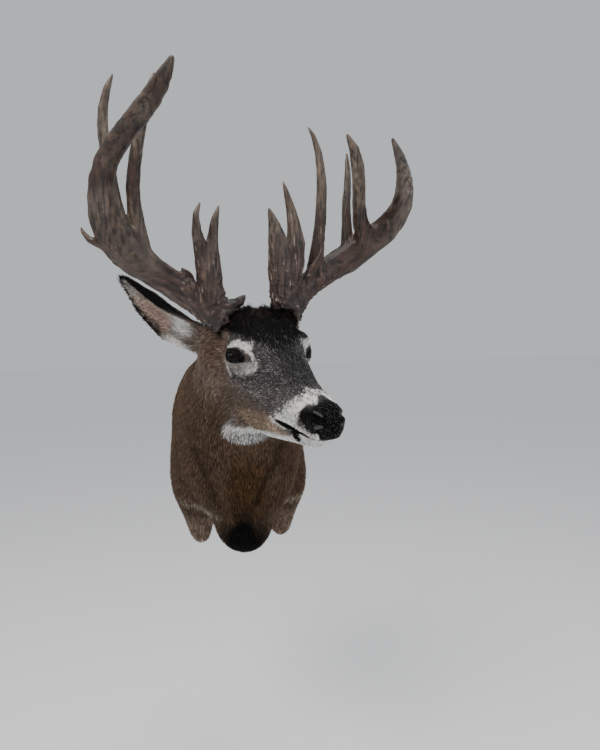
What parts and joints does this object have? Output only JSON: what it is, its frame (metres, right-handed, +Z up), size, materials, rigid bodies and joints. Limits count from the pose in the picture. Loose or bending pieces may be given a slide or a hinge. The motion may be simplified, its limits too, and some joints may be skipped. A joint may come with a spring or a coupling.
{
  "type": "deer shoulder mount",
  "caption": "Wall-hung shoulder mount of a whitetail buck: head turned to its left, dark branching antlers, laid-back ears, trunk cut off flat at the back.",
  "frame": {"origin": "on the flat back of the board that lies against the wall, in line with the middle of the board across its width and near the middle of its height", "axes": "+X towards the deer's left, +Y into the wall, +Z up"},
  "size_m": [0.5907, 0.6916, 0.8577],
  "materials": {
    "coat": "short dense winter hair, grey-brown",
    "face": "very short salt-and-pepper hair",
    "ear": "short dark hair outside, pale streaked hair inside",
    "nose": "pebbled black skin, slightly glossy",
    "eye": "glossy, near black",
    "antler": "dark stained antler, grooved, polished at the tips",
    "board": "plain plywood"
  },
  "bodies": {
    "root": {"ear_right": "ear", "ear_left": "ear", "lower_jaw": "face", "nose": "nose", "head": "face", "neck": "coat", "shoulder_right": "coat", "leg_right": "coat", "shoulder_left": "coat", "leg_left": "coat", "chest": "coat", "eye_right": "eye", "eye_left": "eye", "antler_right_brow_tine": "antler", "antler_right_second_tine": "antler", "antler_right_third_tine": "antler", "antler_right_kicker_tine": "antler", "antler_right_base": "antler", "antler_right_beam": "antler", "antler_left_brow_tine": "antler", "antler_left_second_tine": "antler", "antler_left_third_tine": "antler", "antler_left_rear_tine": "antler", "antler_left_base": "antler", "antler_left_beam": "antler", "backboard": "board"}
  },
  "joints": []
}
